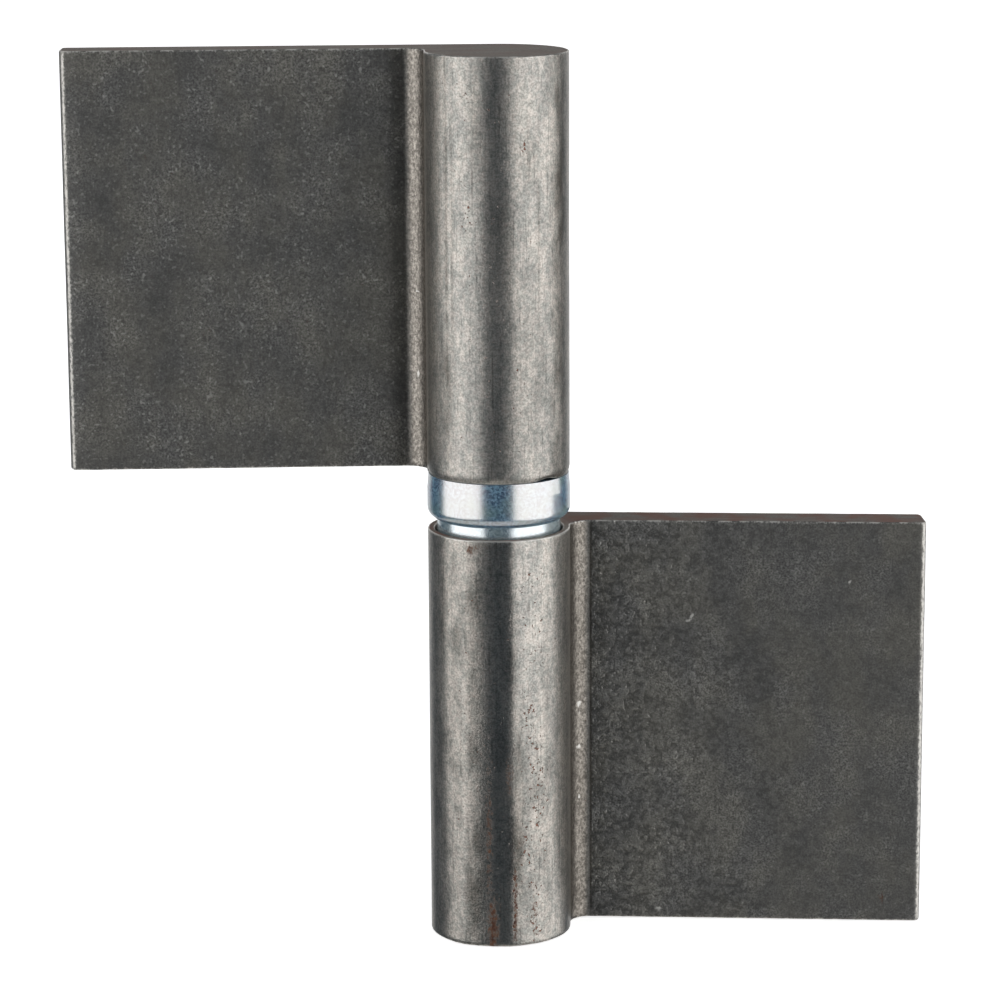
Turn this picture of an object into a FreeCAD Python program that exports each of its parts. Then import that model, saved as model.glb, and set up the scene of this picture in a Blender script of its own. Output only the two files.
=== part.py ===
import FreeCAD, Part
import os

import Sketcher
from FreeCAD import Vector

# Weld-on lift-off hinge. The pin axis is Z, the lower barrel stands on Z = 0, the lower leaf reaches
# along +X, and the weld faces at the back of the barrels look along +Y.

doc = FreeCAD.newDocument("lift_off_hinge")
sizes = doc.addObject("Spreadsheet::Sheet", "sizes")

# Driving dimensions in millimetres and degrees
driving = [
    ("barrel_diameter", "22.5", "round barrel of each half"),
    ("half_length", "66", "each half along the pin"),
    ("leaf_reach", "67.5", "pin axis to the outer edge of a leaf"),
    ("leaf_thickness", "6.5", "leaf, flush with the back of the barrel"),
    ("root_radius", "3.3", "hollow between the barrel and the front of the leaf"),
    ("leaf_edge_radius", "1", "rolled corners of the outer leaf edge"),
    ("open_angle", "174.25", "angle between the leaves as the hinge stands"),
    ("mouth_chamfer_width", "0.3", "edge break of the upper barrel, across"),
    ("mouth_chamfer_height", "0.9", "edge break of the upper barrel, along the pin"),
    ("pin_diameter", "10", "hinge pin"),
    ("pin_seat_depth", "30", "pin pressed into the lower barrel below the bearing"),
    ("pin_engagement", "40", "pin standing in the upper barrel"),
    ("pin_chamfer", "1.2", "both ends of the pin"),
    ("pin_clearance", "0.06", "running clearance of the upper bore on the radius"),
    ("bore_end_room", "3", "free bore over the end of the pin"),
    ("bore_lead", "1", "countersink at the mouth of the upper bore"),
    ("drill_angle", "118", "drill point at the end of both bores"),
    ("bearing_gap", "8.9", "distance between the two barrels"),
    ("rim_wall", "1.15", "barrel wall round the bearing seat"),
    ("seat_depth", "4", "bearing seat below the top of the lower barrel"),
    ("seat_clearance", "0.4", "base ring inside its seat, on the radius"),
    ("neck_height", "1.8", "base ring that shows under the cap"),
    ("cap_plate", "2.9", "cap above its race"),
    ("cap_taper_width", "0.2", "draw-in at the top of the cap, across"),
    ("cap_taper_height", "2.4", "draw-in at the top of the cap, along the pin"),
    ("lip_height", "0.85", "bevelled lip of the cap"),
    ("lip_land", "0.15", "flat left at the foot of the lip"),
    ("lip_round", "1.75", "rounded edge over the lip"),
    ("skirt_clearance", "0.2", "cap skirt round the base ring, on the radius"),
    ("ring_clearance", "0.3", "cap and base ring round the pin, on the radius"),
    ("ball_diameter", "2.5", "bearing ball"),
    ("ball_count", "14", "balls in the cage"),
    ("race_gap", "1.7", "between the flat faces of the two races"),
    ("race_clearance", "0.05", "ball in its race grooves"),
    ("cage_thickness", "1", "ball cage along the pin"),
    ("cage_width", "3.4", "ball cage from its inner to its outer edge"),
    ("pocket_clearance", "0.1", "ball in its cage pocket, on the radius"),
]
for row, (name, value, note) in enumerate(driving, start=1):
    sizes.set(f"A{row}", name)
    sizes.set(f"B{row}", value)
    sizes.setAlias(f"B{row}", name)
    sizes.set(f"C{row}", note)
doc.recompute()

# Radii that the pieces share
barrel_radius = "(sizes.barrel_diameter / 2)"
pin_radius = "(sizes.pin_diameter / 2)"
seat_radius = f"({barrel_radius} - sizes.rim_wall)"
base_radius = f"({seat_radius} - sizes.seat_clearance)"
skirt_radius = f"({base_radius} + sizes.skirt_clearance)"
ring_bore_radius = f"({pin_radius} + sizes.ring_clearance)"
ball_circle_radius = f"(({pin_radius} + {skirt_radius}) / 2)"
ball_radius = "(sizes.ball_diameter / 2)"
groove_radius = f"({ball_radius} + sizes.race_clearance)"
pocket_radius = f"({ball_radius} + sizes.pocket_clearance)"
cage_inner_radius = f"({ball_circle_radius} - sizes.cage_width / 2)"
cage_outer_radius = f"({ball_circle_radius} + sizes.cage_width / 2)"

# Heights along the pin
seat_level = "(sizes.half_length - sizes.seat_depth)"
mouth_level = "(sizes.half_length + sizes.bearing_gap)"
top_level = f"({mouth_level} + sizes.half_length)"
cap_foot = "(sizes.half_length + sizes.neck_height)"
cap_height = f"({mouth_level} - {cap_foot})"
cap_race = f"({cap_height} - sizes.cap_plate)"
ball_level = f"({cap_foot} + {cap_race} - sizes.race_gap / 2)"
base_height = f"({ball_level} - sizes.race_gap / 2 - {seat_level})"
pin_foot = f"({seat_level} - sizes.pin_seat_depth)"
pin_length = f"({mouth_level} + sizes.pin_engagement - {pin_foot})"

# Numbers that a sketch gives to the ends of an element, to its own origin and to its horizontal axis
START, END, CENTRE = range(1, 4)
ORIGIN = (-1, 1)
ACROSS_AXIS = (-1,)

full_turn = 360
same_length = 1e-6


def value_of(expression):
    return float(sizes.evalExpression(expression.replace("sizes.", "")))


def new_body(label):
    body = doc.addObject("PartDesign::Body", label)
    body.Label = label
    return body


def new_sketch(body, name, role="XY_Plane", height=None):
    sketch = body.newObject("Sketcher::SketchObject", name)
    plane = [feature for feature in body.Origin.OriginFeatures if feature.Role == role][0]
    sketch.AttachmentSupport = [(plane, "")]
    sketch.MapMode = "FlatFace"
    if height:
        sketch.setExpression("AttachmentOffset.Base.z", height)
    return sketch


def bind(sketch, name, expression, kind, *places):
    index = sketch.addConstraint(Sketcher.Constraint(kind, *places, value_of(expression)))
    sketch.renameConstraint(index, name)
    sketch.setExpression(f"Constraints.{name}", expression)


def add_circle(sketch, name, radius, across=None, up=None):
    x = value_of(across) if across else 0
    y = value_of(up) if up else 0
    circle = sketch.addGeometry(Part.Circle(Vector(x, y, 0), Vector(0, 0, 1), value_of(radius)))
    if not across and not up:
        sketch.addConstraint(Sketcher.Constraint("Coincident", circle, CENTRE, *ORIGIN))
    if across:
        bind(sketch, f"{name}_across", across, "DistanceX", *ORIGIN, circle, CENTRE)
    if up:
        bind(sketch, f"{name}_up", up, "DistanceY", *ORIGIN, circle, CENTRE)
    elif across:
        sketch.addConstraint(Sketcher.Constraint("PointOnObject", circle, CENTRE, *ACROSS_AXIS))
    bind(sketch, f"{name}_radius", radius, "Radius", circle)


# A closed outline of straight runs, each corner placed from the axis and the foot of its own piece
def add_outline(sketch, corners):
    points = [Vector(value_of(across), value_of(up) if up else 0, 0) for _, across, up in corners]
    count = len(corners)
    for i in range(count):
        sketch.addGeometry(Part.LineSegment(points[i], points[(i + 1) % count]))
    for i, (name, across, up) in enumerate(corners):
        sketch.addConstraint(Sketcher.Constraint("Coincident", i, END, (i + 1) % count, START))
        bind(sketch, f"{name}_across", across, "DistanceX", *ORIGIN, i, START)
        if up:
            bind(sketch, f"{name}_up", up, "DistanceY", *ORIGIN, i, START)
        else:
            sketch.addConstraint(Sketcher.Constraint("PointOnObject", i, START, *ACROSS_AXIS))


def pad(body, sketch, name, length):
    feature = body.newObject("PartDesign::Pad", name)
    feature.Profile = sketch
    feature.setExpression("Length", length)
    doc.recompute()
    return feature


def turn(body, sketch, name, kind):
    feature = body.newObject(f"PartDesign::{kind}", name)
    feature.Profile = sketch
    feature.ReferenceAxis = (sketch, ["V_Axis"])
    doc.recompute()
    return feature


# Rolled profile of one half: round barrel, leaf flush with its back, hollow root at the front
def add_profile(sketch):
    radius = value_of(barrel_radius)
    reach = value_of("sizes.leaf_reach")
    front = radius - value_of("sizes.leaf_thickness")
    edge = value_of("sizes.leaf_edge_radius")
    root = value_of("sizes.root_radius")
    root_centre = Vector(((radius + root) ** 2 - (front - root) ** 2) ** 0.5, front - root, 0)
    root_end = root_centre * (radius / (radius + root))

    def arc(start, middle, end):
        return sketch.addGeometry(Part.Arc(start, middle, end))

    def line(start, end):
        return sketch.addGeometry(Part.LineSegment(start, end))

    def corner(centre, direction):
        return centre + direction * (edge / direction.Length)

    back_centre = Vector(reach - edge, radius - edge, 0)
    front_centre = Vector(reach - edge, front + edge, 0)
    back_corner = (corner(back_centre, Vector(1, 0, 0)), corner(back_centre, Vector(0, 1, 0)))
    front_corner = (corner(front_centre, Vector(0, -1, 0)), corner(front_centre, Vector(1, 0, 0)))
    root_start = Vector(root_centre.x, front, 0)
    root_middle = root_centre + Vector(-1, 1, 0) * (root / Vector(-1, 1, 0).Length)

    barrel = arc(Vector(0, radius, 0), Vector(-radius, 0, 0), root_end)
    hollow = arc(root_end, root_middle, root_start)
    face = line(root_start, front_corner[0])
    front_round = arc(front_corner[0], corner(front_centre, Vector(1, -1, 0)), front_corner[1])
    outer = line(front_corner[1], back_corner[0])
    back_round = arc(back_corner[0], corner(back_centre, Vector(1, 1, 0)), back_corner[1])
    back = line(back_corner[1], Vector(0, radius, 0))

    # Part.Arc runs anticlockwise in a sketch, so the clockwise hollow has its ends the other way round
    joins = [
        (barrel, END, hollow, END),
        (hollow, START, face, START),
        (face, END, front_round, START),
        (front_round, END, outer, START),
        (outer, END, back_round, START),
        (back_round, END, back, START),
        (back, END, barrel, START),
    ]
    for join in joins:
        sketch.addConstraint(Sketcher.Constraint("Tangent", *join))
    sketch.addConstraint(Sketcher.Constraint("Coincident", barrel, CENTRE, *ORIGIN))
    sketch.addConstraint(Sketcher.Constraint("Horizontal", face))
    sketch.addConstraint(Sketcher.Constraint("Horizontal", back))
    sketch.addConstraint(Sketcher.Constraint("Vertical", outer))
    sketch.addConstraint(Sketcher.Constraint("Equal", front_round, back_round))
    bind(sketch, "barrel_radius", barrel_radius, "Radius", barrel)
    bind(sketch, "root_radius", "sizes.root_radius", "Radius", hollow)
    bind(sketch, "edge_radius", "sizes.leaf_edge_radius", "Radius", front_round)
    bind(sketch, "reach", "sizes.leaf_reach", "DistanceX", *ORIGIN, outer, START)
    bind(sketch, "thickness", "sizes.leaf_thickness", "DistanceY", face, START, back, END)


# One half with its leaf along +X and the mouth of its bore at the top
def make_half(label, bore_radius, bore_depth):
    body = new_body(label)
    profile = new_sketch(body, f"{label}_profile")
    add_profile(profile)
    pad(body, profile, f"{label}_length", "sizes.half_length")

    mouth = new_sketch(body, f"{label}_mouth", height="sizes.half_length")
    add_circle(mouth, "bore", bore_radius)
    doc.recompute()
    bore = body.newObject("PartDesign::Hole", f"{label}_bore")
    bore.Profile = mouth
    bore.DepthType = "Dimension"
    bore.DrillPoint = "Angled"
    bore.setExpression("Diameter", f"2 * {bore_radius}")
    bore.setExpression("Depth", bore_depth)
    bore.setExpression("DrillPointAngle", "sizes.drill_angle")
    return body, bore


# Fixed half: the bore holds the pin tight, and a wider seat at its mouth takes the bearing
lower_leaf, lower_bore = make_half("lower_leaf", pin_radius, "sizes.seat_depth + sizes.pin_seat_depth")
lower_bore.HoleCutType = "Counterbore"
lower_bore.setExpression("HoleCutDiameter", f"2 * {seat_radius}")
lower_bore.setExpression("HoleCutDepth", "sizes.seat_depth")
doc.recompute()

# Door half: the same profile turned over, with a running bore and a broken edge round its barrel
running_radius = f"({pin_radius} + sizes.pin_clearance)"
upper_leaf, upper_bore = make_half("upper_leaf", running_radius, "sizes.pin_engagement + sizes.bore_end_room")
upper_bore.HoleCutType = "Countersink"
upper_bore.setExpression("HoleCutDiameter", f"2 * ({running_radius} + sizes.bore_lead)")
doc.recompute()

# The edge break runs three quarters round, from the back of the barrel by its free side to the leaf's root
edge_break = new_sketch(upper_leaf, "upper_leaf_edge", "YZ_Plane")
add_outline(
    edge_break,
    [
        ("inner", f"{barrel_radius} - sizes.mouth_chamfer_width", "sizes.half_length"),
        ("outer", f"{barrel_radius} + sizes.mouth_chamfer_width", "sizes.half_length"),
        (
            "foot",
            f"{barrel_radius} + sizes.mouth_chamfer_width",
            "sizes.half_length - 2 * sizes.mouth_chamfer_height",
        ),
    ],
)
free_side = turn(upper_leaf, edge_break, "upper_leaf_edge_break", "Groove")
free_side.Angle = 0.75 * full_turn
upper_leaf.setExpression(
    "Placement",
    f"placement(vector(0; 0; {top_level}); rotation(180 - sizes.open_angle; 180; 0))",
)
doc.recompute()

# Pin: plain steel, with both ends chamfered
hinge_pin = new_body("hinge_pin")
pin_circle = new_sketch(hinge_pin, "hinge_pin_circle")
add_circle(pin_circle, "pin", pin_radius)
pin_bar = pad(hinge_pin, pin_circle, "hinge_pin_bar", pin_length)
pin_ends = hinge_pin.newObject("PartDesign::Chamfer", "hinge_pin_ends")
round_edges = [
    f"Edge{i}"
    for i, edge in enumerate(pin_bar.Shape.Edges, start=1)
    if isinstance(edge.Curve, Part.Circle)
]
pin_ends.Base = (pin_bar, round_edges)
pin_ends.setExpression("Size", "sizes.pin_chamfer")
hinge_pin.setExpression("Placement.Base.z", pin_foot)

# Bearing cap: plated ring as wide as the barrels, hollow below, with a bevelled lip round the base ring
bearing_cap = new_body("bearing_cap")
cap_section = new_sketch(bearing_cap, "bearing_cap_section", "XZ_Plane")
add_outline(
    cap_section,
    [
        ("bore_top", ring_bore_radius, cap_height),
        ("shoulder", f"{barrel_radius} - sizes.cap_taper_width", cap_height),
        ("side_top", barrel_radius, f"{cap_height} - sizes.cap_taper_height"),
        ("side_foot", barrel_radius, "sizes.lip_height"),
        ("lip", f"{skirt_radius} + sizes.lip_land", None),
        ("skirt_foot", skirt_radius, None),
        ("skirt_top", skirt_radius, cap_race),
        ("bore_race", ring_bore_radius, cap_race),
    ],
)
cap_ring = turn(bearing_cap, cap_section, "bearing_cap_ring", "Revolution")
lip_edge = [
    f"Edge{i}"
    for i, edge in enumerate(cap_ring.Shape.Edges, start=1)
    if isinstance(edge.Curve, Part.Circle)
    and abs(edge.Curve.Radius - value_of(barrel_radius)) < same_length
    and abs(edge.Curve.Center.z - value_of("sizes.lip_height")) < same_length
]
lip_round = bearing_cap.newObject("PartDesign::Fillet", "bearing_cap_lip_round")
lip_round.Base = (cap_ring, lip_edge)
lip_round.setExpression("Radius", "sizes.lip_round")
doc.recompute()
cap_groove = new_sketch(bearing_cap, "bearing_cap_groove", "XZ_Plane")
add_circle(cap_groove, "groove", groove_radius, ball_circle_radius, f"{cap_race} - sizes.race_gap / 2")
turn(bearing_cap, cap_groove, "bearing_cap_race", "Groove")
bearing_cap.setExpression("Placement.Base.z", cap_foot)

# Base ring: stands on the floor of the seat, with the lower race on top
bearing_base = new_body("bearing_base")
base_section = new_sketch(bearing_base, "bearing_base_section", "XZ_Plane")
add_outline(
    base_section,
    [
        ("bore_foot", ring_bore_radius, None),
        ("side_foot", base_radius, None),
        ("side_top", base_radius, base_height),
        ("bore_top", ring_bore_radius, base_height),
    ],
)
turn(bearing_base, base_section, "bearing_base_ring", "Revolution")
base_groove = new_sketch(bearing_base, "bearing_base_groove", "XZ_Plane")
add_circle(base_groove, "groove", groove_radius, ball_circle_radius, f"{base_height} + sizes.race_gap / 2")
turn(bearing_base, base_groove, "bearing_base_race", "Groove")
bearing_base.setExpression("Placement.Base.z", seat_level)

# Cage: flat ring with a round pocket for each ball
ball_cage = new_body("ball_cage")
cage_rings = new_sketch(ball_cage, "ball_cage_rings")
add_circle(cage_rings, "inner", cage_inner_radius)
add_circle(cage_rings, "outer", cage_outer_radius)
pad(ball_cage, cage_rings, "ball_cage_ring", "sizes.cage_thickness")
pocket_circle = new_sketch(ball_cage, "ball_cage_pocket_circle", height="sizes.cage_thickness")
add_circle(pocket_circle, "pocket", pocket_radius, ball_circle_radius)
pocket = ball_cage.newObject("PartDesign::Pocket", "ball_cage_pocket")
pocket.Profile = pocket_circle
pocket.Type = "ThroughAll"
doc.recompute()
pockets = ball_cage.newObject("PartDesign::PolarPattern", "ball_cage_pockets")
pockets.Originals = [pocket]
pockets.Axis = (pocket_circle, ["N_Axis"])
pockets.Angle = full_turn
pockets.setExpression("Occurrences", "sizes.ball_count")
ball_cage.Tip = pockets
ball_cage.setExpression("Placement.Base.z", f"{ball_level} - sizes.cage_thickness / 2")

# Balls: one in each pocket, between the two races
balls = []
for i in range(round(sizes.ball_count)):
    ball = doc.addObject("Part::Sphere", f"ball_{i + 1:02d}")
    ball.setExpression("Radius", ball_radius)
    angle = f"({i} * {full_turn} / sizes.ball_count)"
    ball.setExpression("Placement.Base.x", f"{ball_circle_radius} * cos({angle})")
    ball.setExpression("Placement.Base.y", f"{ball_circle_radius} * sin({angle})")
    ball.setExpression("Placement.Base.z", ball_level)
    balls.append(ball)
doc.recompute()

pieces = [lower_leaf, upper_leaf, hinge_pin, bearing_cap, bearing_base, ball_cage] + balls
failed = [item.Name for item in doc.Objects if "Invalid" in item.State or "Error" in item.State]
failed += [piece.Label for piece in pieces if piece.Shape.isNull() or not piece.Shape.isValid()]
if failed:
    raise RuntimeError(f"not built: {failed}")

os.makedirs("parts", exist_ok=True)
for piece in pieces:
    piece.Shape.exportStep(f"parts/{piece.Label}.step")
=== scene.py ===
import math

import bmesh
import bpy
from mathutils import Matrix, Vector, noise


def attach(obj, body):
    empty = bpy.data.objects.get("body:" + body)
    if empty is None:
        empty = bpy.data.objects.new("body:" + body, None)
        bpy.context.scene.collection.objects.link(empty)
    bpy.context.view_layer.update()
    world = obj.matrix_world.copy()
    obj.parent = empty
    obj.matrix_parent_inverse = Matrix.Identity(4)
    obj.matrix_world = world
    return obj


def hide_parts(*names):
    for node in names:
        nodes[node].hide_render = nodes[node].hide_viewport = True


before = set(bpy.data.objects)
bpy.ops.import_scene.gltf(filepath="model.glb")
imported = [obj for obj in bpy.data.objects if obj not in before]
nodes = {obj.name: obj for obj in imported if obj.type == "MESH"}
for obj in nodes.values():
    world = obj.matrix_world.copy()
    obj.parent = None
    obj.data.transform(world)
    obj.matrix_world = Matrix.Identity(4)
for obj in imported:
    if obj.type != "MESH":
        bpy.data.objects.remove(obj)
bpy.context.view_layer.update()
scene = bpy.context.scene
scene.view_settings.view_transform = 'Standard'
print('frame loaded:', len(nodes), 'CAD nodes')

metre = 0.001  # metres in a millimetre: pieces are drawn in millimetres and brought to metres at the end


def linear(code):
    # one sRGB hex colour as linear RGBA
    parts = [int(code[i:i + 2], 16) / 255 for i in (1, 3, 5)]
    return [p / 12.92 if p <= 0.04045 else ((p + 0.055) / 1.055) ** 2.4 for p in parts] + [1]


def perMm(size):
    # texture scale, on coordinates in metres, for a pattern of that size in millimetres
    return 1 / (size * metre)


def addNode(tree, kind, inputs=None, out=0, **settings):
    # adds one node with its settings and links, and gives back one of its outputs; inputs go by name or by
    # number: a Mix node has its values at 2 and 3 and its colours at 6 and 7, and a MapRange node has the
    # range it reads at 1 and 2 and the range it gives at 3 and 4
    node = tree.nodes.new('ShaderNode' + kind)
    for key, value in settings.items():
        setattr(node, key, value)
    for key, value in (inputs or {}).items():
        if isinstance(value, bpy.types.NodeSocket):
            tree.links.new(value, node.inputs[key])
        else:
            node.inputs[key].default_value = linear(value) if isinstance(value, str) else value
    return node.outputs[out] if node.outputs else node


# settings that many nodes share
soft = {'interpolation_type': 'SMOOTHSTEP'}
tint = {'data_type': 'RGBA'}
shade = {'data_type': 'RGBA', 'blend_type': 'MULTIPLY'}
times = {'operation': 'MULTIPLY'}


def startMaterial(name):
    material = bpy.data.materials.new(name)
    material.use_nodes = True
    material.node_tree.nodes.clear()
    return material, material.node_tree


def addObject(name, bm, materials):
    mesh = bpy.data.meshes.new(name)
    bm.to_mesh(mesh)
    bm.free()
    for material in materials:
        mesh.materials.append(material)
    piece = bpy.data.objects.new(name, mesh)
    scene.collection.objects.link(piece)
    return piece


def smoothRamp(value, low, high):
    t = min(max((value - low) / (high - low), 0), 1)
    return t * t * (3 - 2 * t)


# Camera, at the place that the hinge's corners in the photograph give, in millimetres and degrees
cameraSet = {
    'place': (34.34, -569.83, 193.39), 'pitch': 12.177, 'heading': 3.429, 'roll': -0.312,
    'lens': 133.37, 'sensor': 36, 'nearest': 10, 'farthest': 20000,
}


def placeCamera(c):
    pitch, heading, roll = (math.radians(c[k]) for k in ('pitch', 'heading', 'roll'))
    ahead = Vector((
        -math.sin(heading) * math.cos(pitch), math.cos(heading) * math.cos(pitch), -math.sin(pitch)))
    right = Vector((math.cos(heading), math.sin(heading), 0))
    up = right.cross(ahead)
    across = math.cos(roll) * right + math.sin(roll) * up
    upright = math.cos(roll) * up - math.sin(roll) * right
    data = bpy.data.cameras.new('camera')
    data.sensor_fit = 'HORIZONTAL'
    data.sensor_width = c['sensor']
    data.lens = c['lens']
    data.clip_start = c['nearest'] * metre
    data.clip_end = c['farthest'] * metre
    camera = bpy.data.objects.new('camera', data)
    turn = Matrix((across, upright, -ahead)).transposed()
    camera.matrix_world = Matrix.Translation(Vector(c['place']) * metre) @ turn.to_4x4()
    scene.collection.objects.link(camera)
    scene.camera = camera


placeCamera(cameraSet)
print('camera placed')

# Studio: a broad softbox on each side of the camera with a dark gap between them, and a weak one overhead.
# A softbox reaches from and to so many degrees round from the camera, and from low to high of level.
# Lengths are in metres.
studioSet = {
    'target': (0, 0, 0.075),
    'softboxes': [
        {'name': 'leftSoftbox', 'from': -99.5, 'to': -28, 'low': -25, 'high': 45, 'radiance': 2.0},
        {'name': 'rightSoftbox', 'from': 24.5, 'to': 115, 'low': -34, 'high': 45, 'radiance': 2.0},
    ],
    'distance': 1.1,
    'overhead': {'height': 1.2, 'size': 1.2, 'radiance': 0.5},
    'ambient': '#565a5e', 'gap': '#2c3b47', 'backdrop': '#ffffff', 'table': '#d8d8d5',
    'backdropFrom': 132, 'backdropFull': 160,  # degrees from the camera's side
    'tableFrom': 33, 'tableFull': 40,  # degrees below level
    'floorSize': 8, 'floorDrop': 0.0002, 'floorColour': '#e9e9e8',
    'floorGlow': 0.72, 'farGlow': 1.0, 'nearReach': 0.25, 'farReach': 0.9,
}


def hangSoftbox(name, place, target, width, height, radiance):
    data = bpy.data.lights.new(name, 'AREA')
    data.shape = 'RECTANGLE'
    data.size = width
    data.size_y = height
    data.energy = radiance * math.pi * width * height
    lamp = bpy.data.objects.new(name, data)
    lamp.location = place
    lamp.rotation_euler = (Vector(target) - Vector(place)).to_track_quat('-Z', 'Y').to_euler()
    lamp.visible_camera = False
    scene.collection.objects.link(lamp)


def lightStudio(s):
    target = Vector(s['target'])
    heading = cameraSet['heading']
    for box in s['softboxes']:
        middle = math.radians((box['from'] + box['to']) / 2 + heading)
        width = 2 * s['distance'] * math.tan(math.radians((box['to'] - box['from']) / 2))
        low, high = (s['distance'] * math.tan(math.radians(box[k])) for k in ('low', 'high'))
        level = Vector((math.sin(middle), -math.cos(middle), 0)) * s['distance']
        centre = target + level + Vector((0, 0, (low + high) / 2))
        hangSoftbox(box['name'], centre, centre - level, width, high - low, box['radiance'])
    top = s['overhead']
    hangSoftbox(
        'overheadSoftbox', (0, 0, top['height']), (0, 0, 0), top['size'], top['size'], top['radiance'])

    world = bpy.data.worlds.new('studioWorld')
    world.use_nodes = True
    tree = world.node_tree
    tree.nodes.clear()
    path = addNode(tree, 'LightPath').node.outputs
    toBack = (-math.sin(math.radians(heading)), math.cos(math.radians(heading)), 0)
    ahead = addNode(tree, 'TexCoord', out='Generated')
    facing = addNode(tree, 'VectorMath', {0: ahead, 1: toBack}, 'Value', operation='DOT_PRODUCT')
    start, full = (-math.cos(math.radians(s[k])) for k in ('backdropFrom', 'backdropFull'))
    behind = addNode(tree, 'MapRange', {0: facing, 1: start, 2: full}, **soft)
    start, full = (-math.sin(math.radians(s[k])) for k in ('tableFrom', 'tableFull'))
    slope = addNode(tree, 'SeparateXYZ', {0: ahead}, 'Z')
    below = addNode(tree, 'MapRange', {0: slope, 1: start, 2: full}, **soft)
    # metal mirrors the white backdrop and table, and the dark of the studio between the softboxes
    mirrored = addNode(tree, 'Mix', {0: behind, 6: s['gap'], 7: s['backdrop']}, 2, **tint)
    mirrored = addNode(tree, 'Mix', {0: below, 6: mirrored, 7: s['table']}, 2, **tint)
    lit = addNode(tree, 'Mix', {0: path['Is Glossy Ray'], 6: s['ambient'], 7: mirrored}, 2, **tint)
    seen = addNode(tree, 'Math', {
        0: path['Is Camera Ray'], 1: path['Is Transmission Ray']}, operation='MAXIMUM')
    colour = addNode(tree, 'Mix', {0: seen, 6: lit, 7: s['backdrop']}, 2, **tint)
    background = addNode(tree, 'Background', {'Color': colour, 'Strength': 1})
    addNode(tree, 'OutputWorld', {'Surface': background})
    scene.world = world

    # matt white paper, glowing to the camera's eye alone
    floorPaper, tree = startMaterial('paleStudioPaper')
    where = addNode(tree, 'TexCoord', out='Object')
    reach = addNode(tree, 'VectorMath', {0: where}, 'Value', operation='LENGTH')
    level = addNode(tree, 'MapRange', {
        0: reach, 1: s['nearReach'], 2: s['farReach'], 3: s['floorGlow'], 4: s['farGlow']}, **soft)
    eye = addNode(tree, 'LightPath', out='Is Camera Ray')
    glow = addNode(tree, 'Math', {0: eye, 1: level}, **times)
    matt = addNode(tree, 'BsdfDiffuse', {'Color': s['floorColour']})
    shine = addNode(tree, 'Emission', {'Color': s['backdrop'], 'Strength': glow})
    both = addNode(tree, 'AddShader', {0: matt, 1: shine})
    addNode(tree, 'OutputMaterial', {'Surface': both})
    bm = bmesh.new()
    bmesh.ops.create_grid(bm, x_segments=1, y_segments=1, size=s['floorSize'] / 2,
                          matrix=Matrix.Translation((0, 0, -s['floorDrop'])))
    floor = addObject('studioFloor', bm, [floorPaper])
    # the softboxes reach below the floor, so their light and their mirror images pass through it
    floor.visible_glossy = False
    floor.visible_shadow = False


lightStudio(studioSet)
print('studio lit')

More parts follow.
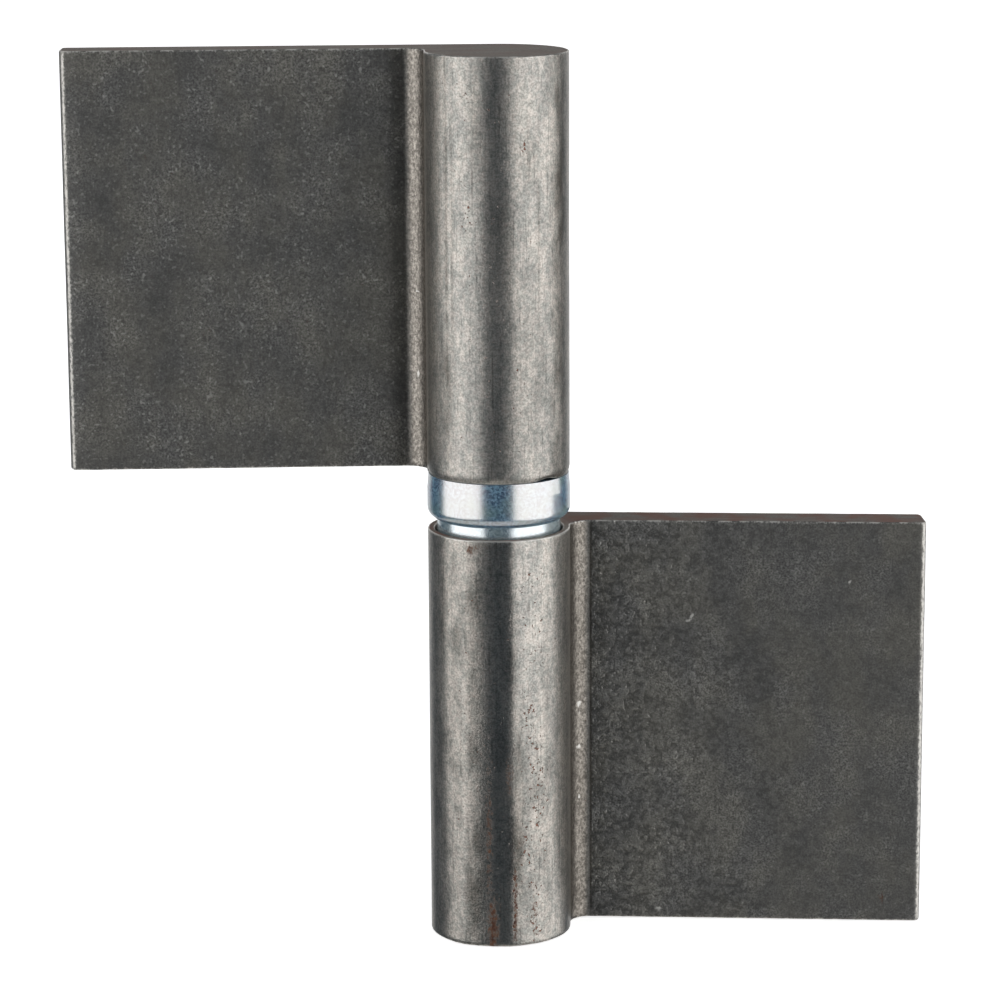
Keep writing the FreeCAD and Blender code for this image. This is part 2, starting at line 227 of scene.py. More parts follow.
# Rolled steel: one hot-rolled profile, so the leaf keeps its dark mill scale, a semi-matt grey oxide with a
# sandy grain in patches, while the barrel was drawn bright: a satin grey, clouded, with broken lines along
# the pin, dark pits and the first rust.
steelSet = {
    'scaleCool': '#605f5d', 'scaleOlive': '#62605b', 'scaleTip': '#b4b3ae',
    'barrelCool': '#979590', 'barrelWarm': '#9a958e', 'green': '#91948f', 'pink': '#9b938d',
    'rootDark': '#69645e', 'rootLight': '#98928a',
    # the corner colour is painted shade: it darkens the leaf along the root, where the barrel shades it
    # the stain colour darkens real stains, and is painted shade where it dims the barrel's reflections of
    # the softboxes
    'worn': '#bdbab4', 'stainAndShade': '#8b857d', 'corner': '#b3b1ae',
    'pit': '#654a40', 'rust': '#6a4a38', 'rustDark': '#4a2f25',
    # patterns: size in millimetres, stretch along the pin, detail; the grain is as coarse as a pixel needs
    'patterns': {
        'grain': (0.32, 1, 1), 'tip': (0.5, 1, 0), 'tint': (0.9, 1, 1), 'peel': (0.9, 1, 2),
        'crust': (0.4, 1.6, 3), 'pitting': (0.55, 1, 2), 'streak': (0.3, 30, 2), 'cloud': (3, 2.6, 4),
        'mottle': (7, 1.6, 5), 'patch': (8, 1, 5),
    },
    'patternRoughness': 0.6, 'speckShare': 0.3,
    # what the patterns become: pattern, its low and high, and the values there
    'shares': {
        'leafTone': ('mottle', 0.35, 0.65, 0, 1), 'leafGrain': ('grain', 0.28, 0.72, 0.60, 1.4),
        'leafDrift': ('peel', 0.35, 0.65, 0.90, 1.10),
        'leafPeel': ('peel', 0.35, 0.65, 0.76, 1.30), 'leafTip': ('tip', 0.64, 0.82, 0, 0.42),
        'leafPatch': ('patch', 0.42, 0.62, 0.45, 1), 'leafCloud': ('patch', 0.34, 0.66, 0.88, 1.13),
        'leafMottle': ('mottle', 0.32, 0.68, 0.89, 1.11),
        'barrelTone': ('cloud', 0.36, 0.64, 0, 1), 'barrelTint': ('tint', 0.40, 0.60, 0, 1),
        'barrelGrain': ('grain', 0.28, 0.72, 0.74, 1.20), 'barrelPeel': ('peel', 0.32, 0.64, 0.84, 1.10),
        'barrelCloud': ('cloud', 0.32, 0.62, 0.78, 1.08),
        'darkLine': ('streak', 0.28, 0.42, 0.66, 1), 'brightLine': ('streak', 0.60, 0.74, 1, 1.2),
        'stainAndShadeBreak': ('cloud', 0.30, 0.62, 1, 0.45), 'rootTone': ('crust', 0.36, 0.68, 0, 1),
        'rustTone': ('peel', 0.35, 0.65, 0, 1),
    },
    # wear, rust and pits have ragged edges: a pattern, times a factor, is added to the zone, and it shows
    # from the low level on, fully at the high one
    'ragged': {
        'worn': ('crust', 1, 0.80, 1.20), 'rust': ('crust', 2.2, 1.35, 2.25),
        'pit': ('pitting', 5, 3.55, 3.95),
    },
    'scaleRoughness': 0.46, 'barrelRoughness': 0.38, 'polishedRoughness': 0.29, 'rustRoughness': 0.55,
    'hammeredRoughness': 0.36, 'scaleMetallic': 0.65, 'wornMetallic': 0.75, 'rustMetallic': 0.8,
    # relief in millimetres
    'scaleRelief': 0.05, 'peelRelief': 0.34, 'barrelRelief': 0.02, 'rootRelief': 0.05, 'pitRelief': -0.05,
}
# what the rolled steel reads from the mesh, as shares from 0 to 1
zoneNames = ('barrel', 'root', 'corner', 'hammered', 'tips', 'worn', 'rust', 'pit', 'stainAndShade', 'polish')


def makeRolledSteel(s):
    steel, tree = startMaterial('rolledSteelWithMillScale')
    where = addNode(tree, 'TexCoord', out='Object')
    zone, pattern, share = {}, {}, {}
    for name in zoneNames:
        zone[name] = addNode(tree, 'Attribute', out='Fac', attribute_name=name + 'Share')
    for name, (size, stretch, detail) in s['patterns'].items():
        place = addNode(tree, 'Mapping', {'Vector': where, 'Scale': (1, 1, 1 / stretch)})
        pattern[name] = addNode(tree, 'TexNoise', {
            'Vector': place, 'Scale': perMm(size), 'Detail': detail, 'Roughness': s['patternRoughness']})
    for name, (source, low, high, atLow, atHigh) in s['shares'].items():
        span = {0: pattern[source], 1: low, 2: high, 3: atLow, 4: atHigh}
        share[name] = addNode(tree, 'MapRange', span, **soft)
    for name, (source, factor, low, high) in s['ragged'].items():
        height = addNode(tree, 'Math', {
            0: pattern[source], 1: factor, 2: zone[name]}, operation='MULTIPLY_ADD')
        share[name] = addNode(tree, 'MapRange', {0: height, 1: low, 2: high}, **soft)
    # stains, and painted shade where the barrel's reflections of the softboxes are dimmed
    stainAndShade = addNode(tree, 'Math', {0: zone['stainAndShade'], 1: share['stainAndShadeBreak']}, **times)

    # leaf: mottled scale, grainy in patches, hammered by the root, and worn bright on its highest grains
    leaf = addNode(tree, 'Mix', {0: share['leafTone'], 6: s['scaleCool'], 7: s['scaleOlive']}, 2, **tint)
    leaf = addNode(tree, 'Mix', {0: share['leafPatch'], 6: leaf, 7: share['leafGrain']}, 2, **shade)
    for name in ('leafDrift', 'leafMottle', 'leafCloud'):
        leaf = addNode(tree, 'Mix', {0: 1, 6: leaf, 7: share[name]}, 2, **shade)
    leaf = addNode(tree, 'Mix', {0: zone['hammered'], 6: leaf, 7: share['leafPeel']}, 2, **shade)
    tips = addNode(tree, 'Math', {0: share['leafTip'], 1: share['leafPatch']}, **times)
    tips = addNode(tree, 'Math', {0: tips, 1: zone['tips']}, **times)
    leaf = addNode(tree, 'Mix', {0: tips, 6: leaf, 7: s['scaleTip']}, 2, **tint)
    # painted shade: the leaf darkened along the root, where the barrel shades it
    leaf = addNode(tree, 'Mix', {0: zone['corner'], 6: leaf, 7: s['corner']}, 2, **shade)
    # barrel: clouds, sandy grain, broken lines, stains and painted shade that dims its reflections in
    # patches, and a brighter crust in the hollow root
    barrel = addNode(tree, 'Mix', {
        0: share['barrelTone'], 6: s['barrelCool'], 7: s['barrelWarm']}, 2, **tint)
    specks = addNode(tree, 'Mix', {0: share['barrelTint'], 6: s['green'], 7: s['pink']}, 2, **tint)
    barrel = addNode(tree, 'Mix', {0: s['speckShare'], 6: barrel, 7: specks}, 2, **tint)
    for name in ('barrelCloud', 'barrelPeel', 'darkLine', 'brightLine'):
        barrel = addNode(tree, 'Mix', {0: 1, 6: barrel, 7: share[name]}, 2, **shade)
    root = addNode(tree, 'Mix', {0: share['rootTone'], 6: s['rootDark'], 7: s['rootLight']}, 2, **tint)
    barrel = addNode(tree, 'Mix', {0: zone['root'], 6: barrel, 7: root}, 2, **tint)
    barrel = addNode(tree, 'Mix', {0: stainAndShade, 6: barrel, 7: s['stainAndShade']}, 2, **shade)
    barrel = addNode(tree, 'Mix', {0: 1, 6: barrel, 7: share['barrelGrain']}, 2, **shade)
    barrel = addNode(tree, 'Mix', {0: share['pit'], 6: barrel, 7: s['pit']}, 2, **tint)
    # both: bright where worn to the metal, brown where rust has started
    tone = addNode(tree, 'Mix', {0: zone['barrel'], 6: leaf, 7: barrel}, 2, **tint)
    tone = addNode(tree, 'Mix', {0: share['worn'], 6: tone, 7: s['worn']}, 2, **tint)
    rust = addNode(tree, 'Mix', {0: share['rustTone'], 6: s['rust'], 7: s['rustDark']}, 2, **tint)
    tone = addNode(tree, 'Mix', {0: share['rust'], 6: tone, 7: rust}, 2, **tint)
    drawn = addNode(tree, 'Mix', {0: zone['polish'], 2: s['barrelRoughness'], 3: s['polishedRoughness']})
    gloss = addNode(tree, 'Mix', {0: zone['hammered'], 2: s['scaleRoughness'], 3: s['hammeredRoughness']})
    gloss = addNode(tree, 'Mix', {0: zone['barrel'], 2: gloss, 3: drawn})
    gloss = addNode(tree, 'Mix', {0: share['rust'], 2: gloss, 3: s['rustRoughness']})
    metallic = addNode(tree, 'Mix', {0: zone['barrel'], 2: s['scaleMetallic'], 3: 1.0})
    metallic = addNode(tree, 'Mix', {0: share['worn'], 2: metallic, 3: s['wornMetallic']})
    metallic = addNode(tree, 'Mix', {0: share['rust'], 2: metallic, 3: s['rustMetallic']})

    onLeaf = addNode(tree, 'Math', {0: 1, 1: zone['barrel']}, operation='SUBTRACT')
    onLeaf = addNode(tree, 'Math', {0: onLeaf, 1: share['leafPatch']}, **times)
    relief = 0.0
    for height, depth, part in (
            (pattern['grain'], s['scaleRelief'], onLeaf),
            (pattern['peel'], s['peelRelief'], zone['hammered']),
            (pattern['crust'], s['rootRelief'], zone['root']),
            (pattern['grain'], s['barrelRelief'], zone['barrel']),
            (share['pit'], s['pitRelief'], zone['barrel'])):
        scaled = addNode(tree, 'Math', {0: height, 1: depth}, **times)
        relief = addNode(tree, 'Math', {0: scaled, 1: part, 2: relief}, operation='MULTIPLY_ADD')
    bump = addNode(tree, 'Bump', {'Height': relief, 'Strength': 1, 'Distance': metre})
    shader = addNode(tree, 'BsdfPrincipled', {
        'Base Color': tone, 'Metallic': metallic, 'Roughness': gloss, 'Normal': bump})
    addNode(tree, 'OutputMaterial', {'Surface': shader})
    return steel


# Sawn ends: brown-grey steel with parallel tooth marks, rusting in patches; the bored mouths are brighter,
# as turned steel and in part as painted light on the rim that the bearing shades
sawSet = {
    'dark': '#625b55', 'light': '#77716a', 'rust': '#704c40',
    # the mouth tones are lighter as turned steel, and in part as painted light on the shaded rim
    'mouthDark': '#69625a', 'mouthLight': '#8d857c', 'metallic': 0.2, 'roughness': 0.8,
    # lengths in millimetres, the slant of the tooth marks in degrees, and how little they change along it
    'toothPitch': 0.4, 'toothSlant': 8, 'toothStretch': 0.04, 'grain': 0.4, 'rustPatch': 5, 'relief': 0.03,
    'grainShare': 0.5, 'toneFrom': 0.42, 'toneTo': 0.58,
    'rustLow': 0.40, 'rustHigh': 0.62, 'rustShare': 0.8,
    # the mouths lie within this reach of the pin and this span of their level; rust is full up to one height
    # and down to a share at another
    'mouthReach': 11.4, 'mouthLevel': 70, 'mouthSpan': 10,
    'rustFrom': 80, 'cleanFrom': 130, 'cleanShare': 0.25,
}


def makeSawnSteel(s):
    steel, tree = startMaterial('sawnSteelEnds')
    where = addNode(tree, 'TexCoord', out='Object')
    slant = (0, 0, math.radians(s['toothSlant']))
    along = addNode(tree, 'Mapping', {
        'Vector': where, 'Rotation': slant, 'Scale': (s['toothStretch'], 1, 1)})
    marks = addNode(tree, 'TexNoise', {'Vector': along, 'Scale': perMm(s['toothPitch']), 'Detail': 2})
    grain = addNode(tree, 'TexNoise', {'Vector': where, 'Scale': perMm(s['grain']), 'Detail': 3})
    patch = addNode(tree, 'TexNoise', {'Vector': where, 'Scale': perMm(s['rustPatch']), 'Detail': 3})
    share = addNode(tree, 'Mix', {0: s['grainShare'], 2: marks, 3: grain})
    share = addNode(tree, 'MapRange', {0: share, 1: s['toneFrom'], 2: s['toneTo']})
    rusty = addNode(tree, 'MapRange', {0: patch, 1: s['rustLow'], 2: s['rustHigh'], 4: s['rustShare']})
    parts = addNode(tree, 'SeparateXYZ', {0: where}).node.outputs
    lower = addNode(tree, 'MapRange', {
        0: parts['Z'], 1: s['rustFrom'] * metre, 2: s['cleanFrom'] * metre, 3: 1, 4: s['cleanShare']})
    rusty = addNode(tree, 'Math', {0: rusty, 1: lower}, **times)
    level = addNode(tree, 'Math', {
        0: parts['Z'], 1: s['mouthLevel'] * metre, 2: s['mouthSpan'] * metre}, operation='COMPARE')
    flat = addNode(tree, 'CombineXYZ', {0: parts['X'], 1: parts['Y']})
    radius = addNode(tree, 'VectorMath', {0: flat}, 'Value', operation='LENGTH')
    inside = addNode(tree, 'Math', {0: radius, 1: s['mouthReach'] * metre}, operation='LESS_THAN')
    mouth = addNode(tree, 'Math', {0: level, 1: inside}, **times)
    tone = addNode(tree, 'Mix', {0: share, 6: s['dark'], 7: s['light']}, 2, **tint)
    # the mouths: turned steel, lightened in part as painted light where the bearing's lip shades the rim
    turnedWithPaintedLight = addNode(tree, 'Mix', {0: share, 6: s['mouthDark'], 7: s['mouthLight']}, 2, **tint)
    tone = addNode(tree, 'Mix', {0: mouth, 6: tone, 7: turnedWithPaintedLight}, 2, **tint)
    tone = addNode(tree, 'Mix', {0: rusty, 6: tone, 7: s['rust']}, 2, **tint)
    bump = addNode(tree, 'Bump', {'Height': marks, 'Strength': 1, 'Distance': s['relief'] * metre})
    shader = addNode(tree, 'BsdfPrincipled', {
        'Base Color': tone, 'Metallic': s['metallic'], 'Roughness': s['roughness'], 'Normal': bump})
    addNode(tree, 'OutputMaterial', {'Surface': shader})
    return steel


# Machined and plated metals: one tone with marks of that size in it, in millimetres; a film scatters a
# little light of its own, in a deep and a pale colour, and in patches a green one
metalSets = {
    # bored steel: grey, with fine rings from the cutter
    'boredSteel': {'dark': '#77736d', 'light': '#97928b', 'mark': 0.4, 'stretch': (0.1, 0.1, 1),
                   'roughness': 0.35, 'relief': 0.004},
    # zinc plate with a blue passivation film: white where it mirrors a lamp, and a grainy blue where it
    # mirrors the dark
    'blueZincPlate': {'dark': '#c2bdb9', 'light': '#c6c1bd', 'mark': 0.4, 'stretch': (1, 1, 1),
                      'roughness': 0.24, 'relief': 0.001,
                      'film': ('#134f86', '#84c4e6', '#7fb3a6'), 'filmShare': 0.2},
    # the same plate on the base ring, under a greyer film
    'greyZincPlate': {'dark': '#ccd0d1', 'light': '#d3d7d8', 'mark': 0.4, 'stretch': (1, 1, 1),
                      'roughness': 0.24, 'relief': 0.003,
                      'film': ('#3f6a80', '#c0dbe6', '#a3b8b0'), 'filmShare': 0.2},
    # ground steel: bright, with fine rings round the pin
    'groundPinSteel': {'dark': '#a5a39f', 'light': '#b9b7b2', 'mark': 0.3, 'stretch': (0.1, 0.1, 1),
                       'roughness': 0.22, 'relief': 0.002},
    # pressed brass: warm yellow, softly clouded
    'pressedBrass': {'dark': '#b08d4c', 'light': '#c9a868', 'mark': 0.6, 'stretch': (1, 1, 1),
                     'roughness': 0.3, 'relief': 0.002},
    # lapped bearing steel: a near mirror
    'polishedBallSteel': {'dark': '#bcbcbc', 'light': '#c8c8c8', 'mark': 0.5, 'stretch': (1, 1, 1),
                          'roughness': 0.08, 'relief': 0.0},
}
markSet = {
    'toneFrom': 0.35, 'toneTo': 0.65, 'speckleFrom': 0.42, 'speckleTo': 0.58,
    'filmPatch': 3,  # millimetres, the patches in which the film leans from blue to green
    'leanFrom': 0.45, 'leanTo': 0.75, 'leanShare': 0.8,
}


def makeMetal(name):
    s, m = metalSets[name], markSet
    metal, tree = startMaterial(name)
    where = addNode(tree, 'TexCoord', out='Object')
    along = addNode(tree, 'Mapping', {'Vector': where, 'Scale': s['stretch']})
    marks = addNode(tree, 'TexNoise', {'Vector': along, 'Scale': perMm(s['mark']), 'Detail': 2})
    share = addNode(tree, 'MapRange', {0: marks, 1: m['toneFrom'], 2: m['toneTo']})
    tone = addNode(tree, 'Mix', {0: share, 6: s['dark'], 7: s['light']}, 2, **tint)
    bump = addNode(tree, 'Bump', {'Height': marks, 'Strength': 1, 'Distance': s['relief'] * metre})
    shader = addNode(tree, 'BsdfPrincipled', {
        'Base Color': tone, 'Metallic': 1.0, 'Roughness': s['roughness'], 'Normal': bump})
    if 'film' in s:
        deep, pale, green = s['film']
        patch = addNode(tree, 'TexNoise', {'Vector': where, 'Scale': perMm(m['filmPatch']), 'Detail': 2})
        lean = addNode(tree, 'MapRange', {0: patch, 1: m['leanFrom'], 2: m['leanTo'], 4: m['leanShare']})
        speckle = addNode(tree, 'MapRange', {0: marks, 1: m['speckleFrom'], 2: m['speckleTo']})
        film = addNode(tree, 'Mix', {0: speckle, 6: deep, 7: pale}, 2, **tint)
        film = addNode(tree, 'Mix', {0: lean, 6: film, 7: green}, 2, **tint)
        film = addNode(tree, 'BsdfDiffuse', {'Color': film})
        shader = addNode(tree, 'MixShader', {0: s['filmShare'], 1: shader, 2: film})
    addNode(tree, 'OutputMaterial', {'Surface': shader})
    return metal


rolledSteel = makeRolledSteel(steelSet)
sawnSteel = makeSawnSteel(sawSet)
metals = {name: makeMetal(name) for name in metalSets}
print('materials made')

# One half: a rolled profile of barrel, hollow root and leaf, sawn to length and bored from its mouth,
# in millimetres and degrees
halfForm = {
    'barrelRadius': 11.25, 'length': 66.0, 'leafReach': 67.5, 'leafThickness': 6.5,
    'rootRadius': 3.3, 'cornerRadius': 1.0, 'sawnEdge': 0.2, 'drillAngle': 118,
    'levels': 146, 'barrelSteps': 190, 'rootSteps': 18, 'cornerSteps': 6, 'frontSteps': 104,
    'edgeSteps': 8, 'backSteps': 48, 'boreSteps': 128,
    'skin': 0.05,  # the waves of the skin stay inside the rolled size by this much
    'sameProfilePoint': 1e-3, 'samePoint': 1e-4,  # points closer than this are one
}
# What both halves share of their skin. Fades go from and to degrees round the barrel, millimetres, or shares
# of a strip's width.
skinSet = {
    'polishFade': (45, 60), 'flatReturn': 80,
    'scaleFade': (-10.5, -6.5),  # the back of the barrel keeps its scale
    # the corner fade spreads the painted shade beside the root over shares of its width
    'rootFade': 1.2, 'cornerShadeFade': (0.3, 1.3), 'wornFull': 0.25, 'edgeStart': 0.4, 'edgeShare': 0.6,
    'hammeredFade': (10, 54), 'hammeredDrift': 16, 'hammeredPatch': 9, 'crownFade': (4.5, 0.4),
    'endReach': 0.5, 'endWear': 0.4,
    # waves: size across, and along the pin where it differs, and depth
    'barrelWave': (5, 20, 0.03), 'barrelRipple': (3.2, 0.008), 'hollowRipple': (1.6, 0.03),
    'leafWave': (15, 0.03), 'leafRipple': (3.0, 0.008),
    # how far past its own line a zone still takes a point
    'barrelMargin': 0.02, 'hollowMargin': 0.01, 'frontMargin': 0.001, 'breakMargin': 0.5,
}
# The sawn edges: two steps of inset and rise as shares of the edge, their unevenness and their wear
edgeSet = {
    'steps': ((0.3, 0.7), (0.7, 0.3)), 'uneven': 0.5, 'unevenSize': 0.9,
    'mouthWear': 0.95, 'leafWear': 0.5, 'wearDrift': 0.6, 'wearSize': 1.6, 'mouthMargin': 0.1,
}
# Marks on the barrel: degrees round from the front, height, spread in degrees and in millimetres, strength.
# Ridges on the barrel: degrees round, height of the ridge, spread in degrees.
# Flat on the barrel's front: its left edge in degrees at the bottom and the top, and its depth.
# Wear and rust on the leaf: distance from the pin, height, spread across and along, strength.
# Worn outer edge, and painted shade in a strip beside the root: width and strength.
lowerHalf = {
    'name': 'lowerHalf', 'node': 'lower_leaf', 'body': 'lower_half', 'seed': (31, 77, 19),
    # radius and depth from the mouth
    'bore': [(10.3, 0.0), (10.1, 0.2), (10.1, 4.0), (5.02, 4.0), (5.02, 34.0)],
    'mouthBreak': (0, 0), 'turn': 0, 'flip': 0, 'lift': 0, 'polish': 1.0, 'crown': 0.02,
    'edgeWear': (1.1, 0.62), 'edgeLean': 0.55, 'corner': (0.4, 0.1), 'rootStain': 0.35,
    'hammered': 1.0, 'tips': 0.45, 'chips': [],
    'ridges': [(13, 0.05, 5), (-33, 0.08, 13)], 'flat': (-26, -22.5, 0.25),
    'rust': [(-3, 3, 5, 6, 1.1), (-6, 18, 3.5, 14, 0.7), (10.5, 28, 3, 4, 0.7), (15.5, 7, 2, 8, 0.9),
             (-21, 64.5, 3.5, 1.3, 0.8), (-16, 64.8, 9, 1, 0.5), (33, 5, 3, 4, 0.5)],
    'pits': [(15.5, 7, 2.5, 8, 1.0), (32, 3.2, 3, 2, 1.0), (34, 26, 11, 12, 0.74), (28, 37, 8, 7, 0.72),
             (33, 6, 8, 8, 0.68), (26, 16, 9, 9, 0.66), (-24, 35, 14, 22, 0.25), (33, 50, 14, 14, 0.45)],
    # stains, in part painted shade that dims the barrel's reflections of the softboxes
    'stainAndShadePatches': [(-19, 45, 10, 30, 0.75), (-19, 12, 11, 26, 0.75), (-36, 33, 18, 70, 0.6),
               (-47, 54, 8, 14, 0.75), (36, 18, 24, 22, 0.4), (44, 22, 9, 36, 0.5), (18, 20, 7, 18, 0.85),
               (15, 45, 4, 20, 0.4), (46, 45, 3, 30, 0.4)],
    'wear': [(29.3, 49.8, 0.35, 0.3, 1), (29.8, 49.6, 0.3, 0.25, 1), (30.3, 49.9, 0.3, 0.3, 1),
             (30.5, 50.5, 0.25, 0.4, 1), (55.5, 56.2, 0.3, 0.3, 1), (25.3, 1.5, 0.8, 0.4, 0.8),
             (12.5, 36, 0.35, 0.5, 1), (12.6, 34.6, 0.3, 0.3, 0.8), (12.4, 28.8, 0.4, 0.35, 1),
             (12.5, 20.4, 0.3, 0.6, 0.8)],
    'leafRust': [(61.4, 3.8, 0.5, 0.8, 0.9)],
}
upperHalf = {
    'name': 'upperHalf', 'node': 'upper_leaf', 'body': 'upper_half', 'seed': (83, 24, 56),
    'bore': [(6.06, 0.0), (5.06, 1.0), (5.06, 43.0)],
    'mouthBreak': (0.3, 0.9), 'turn': 5.75, 'flip': 180, 'lift': 140.9, 'polish': 0.2, 'crown': 0.26,
    'edgeWear': (1.6, 0.58), 'edgeLean': 0.1, 'corner': (2.4, 0.8), 'rootStain': 0.0,
    'hammered': 0.15, 'tips': 1.0,
    'chips': [(47, 0.4, 10)],  # degrees round, depth into the mouth's edge, spread in degrees
    'ridges': [], 'flat': (-25, -25, 0), 'rust': [],
    'pits': [(-21, 24, 5, 4, 0.8), (25, 13.6, 3, 2, 1.0), (-23, 6, 6, 3, 0.6), (0, 35, 40, 30, 0.15)],
    # stains, in part painted shade that dims the barrel's reflections of the softboxes
    'stainAndShadePatches': [(-41, 35, 1.8, 60, 0.8), (-35, 30, 1.3, 25, 0.6), (38, 30, 1.5, 20, 0.6),
               (30, 16, 8, 4, 0.5), (8, 28, 9, 7, 0.5), (-14, 10, 5, 9, 0.5), (-42, 52, 7, 12, 0.7),
               (30, 48, 20, 16, 0.35), (61, 33, 11, 60, 1.0)],
    'wear': [(12.4, 38, 0.6, 0.2, 0.8), (12.4, 51, 0.3, 0.8, 0.8)],
    'leafRust': [],
}


def sweepArc(bm, vert, centre, angle, steps):
    swept = bmesh.ops.spin(
        bm, geom=[vert], cent=centre, axis=(0, 0, 1), angle=math.radians(angle), steps=steps)
    return [g for g in swept['geom_last'] if isinstance(g, bmesh.types.BMVert)][0]


def runStraight(bm, vert, end, steps):
    step = (Vector(end) - vert.co) / steps
    for _ in range(steps):
        vert = bmesh.ops.extrude_vert_indiv(bm, verts=[vert])['verts'][0]
        vert.co += step
    return vert


def growLoop(bm, loop, move=(0, 0, 0)):
    grown = bmesh.ops.extrude_edge_only(bm, edges=loop)['geom']
    verts = [g for g in grown if isinstance(g, bmesh.types.BMVert)]
    newVerts = set(verts)
    edges = [g for g in grown if isinstance(g, bmesh.types.BMEdge) and set(g.verts) <= newVerts]
    bmesh.ops.translate(bm, verts=verts, vec=move)
    return edges, verts


def rollProfile(bm, f, lean):
    radius, front = f['barrelRadius'], f['barrelRadius'] - f['leafThickness']
    reach, corner, hollow = f['leafReach'], f['cornerRadius'], f['rootRadius']
    hollowX = math.sqrt((radius + hollow) ** 2 - (front - hollow) ** 2)
    joinAngle = math.degrees(math.atan2(front - hollow, hollowX))
    join = Vector((hollowX, front - hollow, 0)) * radius / (radius + hollow)
    vert = bmesh.ops.create_vert(bm, co=join)['vert'][0]
    vert = sweepArc(bm, vert, (0, 0, 0), -(270 + joinAngle), f['barrelSteps'])
    vert = runStraight(bm, vert, (reach - corner - lean, radius, 0), f['backSteps'])
    vert = sweepArc(bm, vert, (reach - corner - lean, radius - corner, 0), -90, f['cornerSteps'])
    vert = runStraight(bm, vert, (reach, front + corner, 0), f['edgeSteps'])
    vert = sweepArc(bm, vert, (reach - corner, front + corner, 0), -90, f['cornerSteps'])
    vert = runStraight(bm, vert, (hollowX, front, 0), f['frontSteps'])
    sweepArc(bm, vert, (hollowX, front - hollow, 0), 90 + joinAngle, f['rootSteps'])
    bmesh.ops.remove_doubles(bm, verts=bm.verts, dist=f['sameProfilePoint'])
    return hollowX


def patchShare(patches, across, along):
    share = 0
    for atAcross, atAlong, wide, tall, strength in patches:
        off = ((across - atAcross) / wide) ** 2 + ((along - atAlong) / tall) ** 2
        share = max(share, strength * math.exp(-off))
    return share


def bumpHeight(marks, at):
    # the sum of smooth bumps, each with its middle, its height and its spread
    return sum(high * math.exp(-((at - middle) / wide) ** 2) for middle, high, wide in marks)


def ripple(place, setting):
    size, depth = setting
    return noise.noise(place / size) * depth


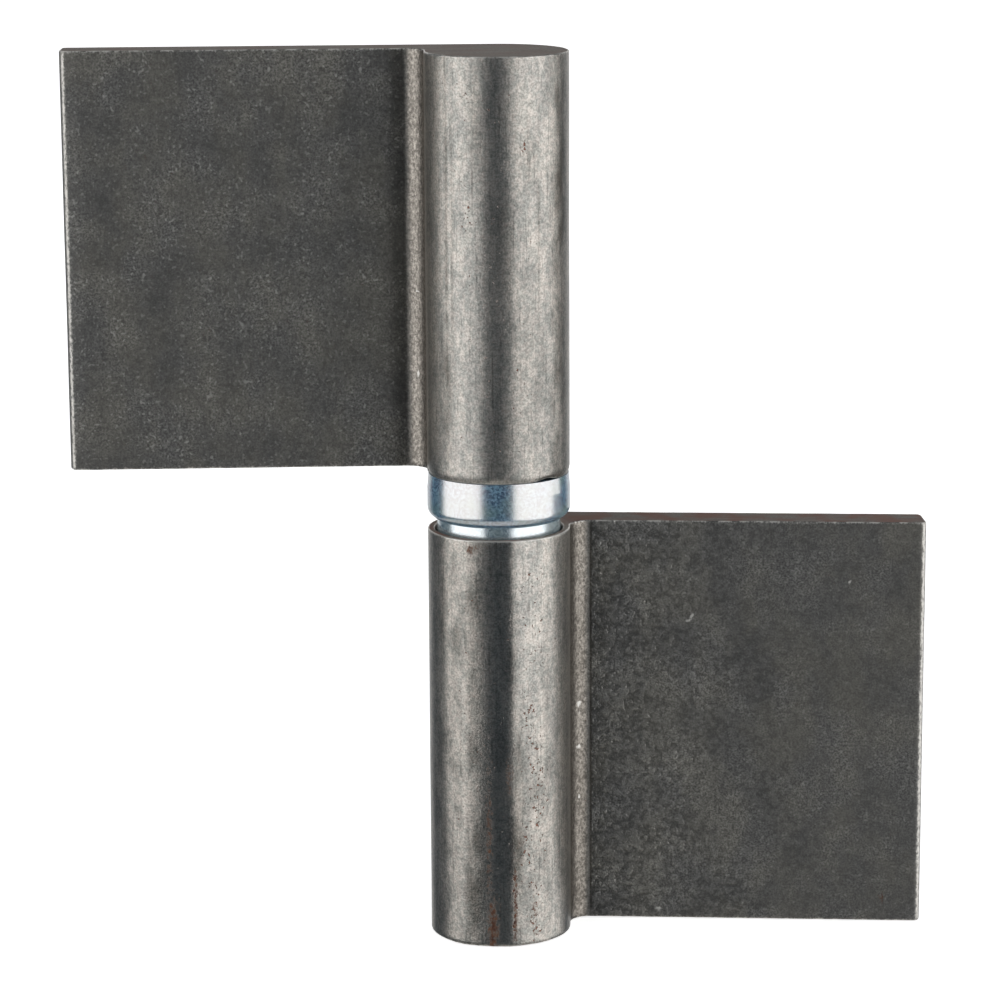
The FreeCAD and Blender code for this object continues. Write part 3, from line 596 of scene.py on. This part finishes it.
def shapeSkin(bm, f, s, half, hollowX):
    # zones for the steel, then the waves, flats and broken mouth of the real skin
    zones = {name: bm.verts.layers.float.new(name + 'Share') for name in zoneNames}
    radius, length, reach = f['barrelRadius'], f['length'], f['leafReach']
    front = radius - f['leafThickness']
    breakWidth, breakHeight = half['mouthBreak']
    wearWidth, wearStrength = half['edgeWear']
    flatBelow, flatAbove, flatDepth = half['flat']
    cornerShadeWidth, cornerShadeStrength = half['corner']
    cornerShadeFrom, cornerShadeTo = (cornerShadeWidth * share for share in s['cornerShadeFade'])
    crownFrom, crownTo = (reach - inset for inset in s['crownFade'])
    waveAcross, waveAlong, waveDepth = s['barrelWave']
    seed = Vector(half['seed'])
    bm.normal_update()
    for vert in bm.verts:
        x, y, z = vert.co
        outward = Vector((vert.normal.x, vert.normal.y, 0)).normalized()
        degrees = math.degrees(math.atan2(-x if half['flip'] else x, -y)) + half['turn']
        onBarrel = math.hypot(x, y) < radius + s['barrelMargin'] and not (x > 0 and y > front)
        inHollow = x < hollowX + s['hollowMargin'] and y < front + s['frontMargin'] and not onBarrel
        onFront = x > hollowX - s['hollowMargin'] and y < front + f['cornerRadius']
        vert[zones['polish']] = half['polish'] * (1 - smoothRamp(abs(degrees), *s['polishFade']))
        vert[zones['tips']] = half['tips']
        p = vert.co + seed
        drop = 0
        if onBarrel:
            vert[zones['barrel']] = smoothRamp(-y, *s['scaleFade'])
            # rust, pits, and stains that are in part painted shade
            for name, patches in (('rust', 'rust'), ('pit', 'pits'), ('stainAndShade', 'stainAndShadePatches')):
                vert[zones[name]] = patchShare(half[patches], degrees, z)
            drop -= bumpHeight(half['ridges'], degrees)
            flatEdge = flatBelow + (flatAbove - flatBelow) * z / length
            if flatEdge < degrees < 0:
                drop += flatDepth * (1 - (degrees / flatEdge) ** 2)
            elif degrees >= 0:
                drop += flatDepth * (1 - smoothRamp(degrees, 0, s['flatReturn']))
            if breakWidth and (x < 0 or y < s['breakMargin']):
                drop += breakWidth * max(0, z - (length - breakHeight)) / breakHeight
            drop += noise.noise(Vector((p.x / waveAcross, p.y / waveAcross, p.z / waveAlong))) * waveDepth
            drop += ripple(p, s['barrelRipple'])
        elif inHollow:
            vert[zones['barrel']] = vert[zones['root']] = smoothRamp(hollowX - x, 0, s['rootFade'])
            # painted shade over the hollow, where the leaf meets the barrel
            vert[zones['corner']] = cornerShadeStrength
            vert[zones['stainAndShade']] = half['rootStain']
            vert[zones['worn']] = patchShare(half['wear'], x, z)
            drop += ripple(p, s['hollowRipple'])
        else:
            onEdge = smoothRamp(y, front + s['edgeStart'], front + f['cornerRadius'])
            worn = wearStrength * smoothRamp(x, reach - wearWidth, reach - wearWidth * s['wornFull'])
            vert[zones['worn']] = worn * (1 - s['edgeShare'] * onEdge)
            drop += ripple(p, s['leafWave']) + ripple(p, s['leafRipple'])
        if onFront:
            # painted shade on the leaf's front, fading away from the root
            vert[zones['corner']] = cornerShadeStrength * (1 - smoothRamp(x - hollowX, cornerShadeFrom, cornerShadeTo))
            vert[zones['worn']] = max(vert[zones['worn']], patchShare(half['wear'], x, z))
            vert[zones['rust']] = patchShare(half['leafRust'], x, z)
            drift = s['hammeredDrift'] * noise.noise(p / s['hammeredPatch'])
            vert[zones['hammered']] = half['hammered'] * (1 - smoothRamp(x + drift, *s['hammeredFade']))
            drop += half['crown'] * smoothRamp(x, crownFrom, crownTo) ** 2
        if min(z, length - z) < s['endReach']:
            vert[zones['worn']] = max(vert[zones['worn']], s['endWear'])
        vert.co -= outward * (f['skin'] + drop)
        if z > length - s['endReach'] and onBarrel:
            vert.co.z -= bumpHeight(half['chips'], degrees)
    return zones


def sawEnds(bm, f, s, half, zones, loops):
    # both ends, each with an edge that the saw left uneven and bright
    seed = Vector(half['seed'])
    ends = []
    for loop, side in zip(loops, (-1, 1)):
        for inset, rise in s['steps']:
            bm.normal_update()
            start = {v for e in loop for v in e.verts}
            normals = {v: v.normal.copy() for v in start}
            loop, verts = growLoop(bm, loop)
            for vert in verts:
                below = [e.other_vert(vert) for e in vert.link_edges if e.other_vert(vert) in start][0]
                outward = Vector((normals[below].x, normals[below].y, 0)).normalized()
                uneven = 1 + s['uneven'] * noise.noise((vert.co + seed) / s['unevenSize'])
                vert.co -= outward * f['sawnEdge'] * uneven * inset
                vert.co.z += side * f['sawnEdge'] * rise
                fromPin = math.hypot(vert.co.x, vert.co.y)
                onMouth = side > 0 and fromPin < f['barrelRadius'] + s['mouthMargin']
                wear = s['mouthWear'] if onMouth else s['leafWear']
                vert[zones['worn']] = wear + s['wearDrift'] * noise.noise((vert.co + seed) / s['wearSize'])
        ends.append(loop)
    return ends


def boreMouth(bm, f, half, rimEdges):
    loop, radius = rimEdges, half['bore'][0][0]
    for newRadius, depth in half['bore'][1:]:
        loop, verts = growLoop(bm, loop)
        bmesh.ops.scale(bm, verts=verts, vec=(newRadius / radius, newRadius / radius, 1))
        bmesh.ops.translate(bm, verts=verts, vec=(0, 0, f['length'] - depth - verts[0].co.z))
        radius = newRadius
    drillPoint = radius / math.tan(math.radians(f['drillAngle'] / 2))
    verts = growLoop(bm, loop, (0, 0, -drillPoint))[1]
    bmesh.ops.pointmerge(bm, verts=verts, merge_co=(0, 0, verts[0].co.z))


def buildHalf(f, half):
    bm = bmesh.new()
    hollowX = rollProfile(bm, f, half['edgeLean'])
    bmesh.ops.translate(bm, verts=bm.verts, vec=(0, 0, f['sawnEdge']))
    firstLoop = lastLoop = list(bm.edges)
    rise = (f['length'] - 2 * f['sawnEdge']) / f['levels']
    for _ in range(f['levels']):
        lastLoop = growLoop(bm, lastLoop, (0, 0, rise))[0]
    zones = shapeSkin(bm, f, skinSet, half, hollowX)
    ends = sawEnds(bm, f, edgeSet, half, zones, (firstLoop, lastLoop))
    wallCount = len(bm.faces)
    rim = bmesh.ops.create_circle(bm, segments=f['boreSteps'], radius=half['bore'][0][0],
                                  matrix=Matrix.Translation((0, 0, f['length'])))['verts']
    rimEdges = list(dict.fromkeys(e for v in rim for e in v.link_edges))
    bmesh.ops.triangle_fill(bm, use_beauty=True, edges=ends[0])
    bmesh.ops.triangle_fill(bm, use_beauty=True, edges=ends[1] + rimEdges)
    sawnCount = len(bm.faces)
    boreMouth(bm, f, half, rimEdges)
    # the rolled skin takes the first material, the sawn ends the second and the bore the third
    for count, face in enumerate(bm.faces):
        face.material_index = 0 if count < wallCount else 1 if count < sawnCount else 2
        face.smooth = face.material_index != 1
    bmesh.ops.remove_doubles(bm, verts=bm.verts, dist=f['samePoint'])
    bmesh.ops.recalc_face_normals(bm, faces=bm.faces)

    turn = Matrix.Rotation(math.radians(half['turn']), 4, 'Z')
    flip = Matrix.Rotation(math.radians(half['flip']), 4, 'Y')
    place = Matrix.Translation((0, 0, half['lift'])) @ turn @ flip
    bmesh.ops.transform(bm, matrix=Matrix.Scale(metre, 4) @ place, verts=bm.verts)
    piece = addObject(half['name'], bm, [rolledSteel, sawnSteel, metals['boredSteel']])
    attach(piece, half['body'])
    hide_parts(half['node'])
    print(half['name'], 'built:', len(piece.data.polygons), 'faces')


for half in (lowerHalf, upperHalf):
    buildHalf(halfForm, half)

# Bearing and pin keep their CAD shapes
finishes = {
    'bearing_cap': 'blueZincPlate', 'bearing_base': 'greyZincPlate', 'hinge_pin': 'groundPinSteel',
    'ball_cage': 'pressedBrass'}
for name, node in nodes.items():
    finish = finishes.get(name, 'polishedBallSteel' if name.startswith('ball_') else None)
    if finish:
        node.data.materials.clear()
        node.data.materials.append(metals[finish])
print('bearing and pin finished')
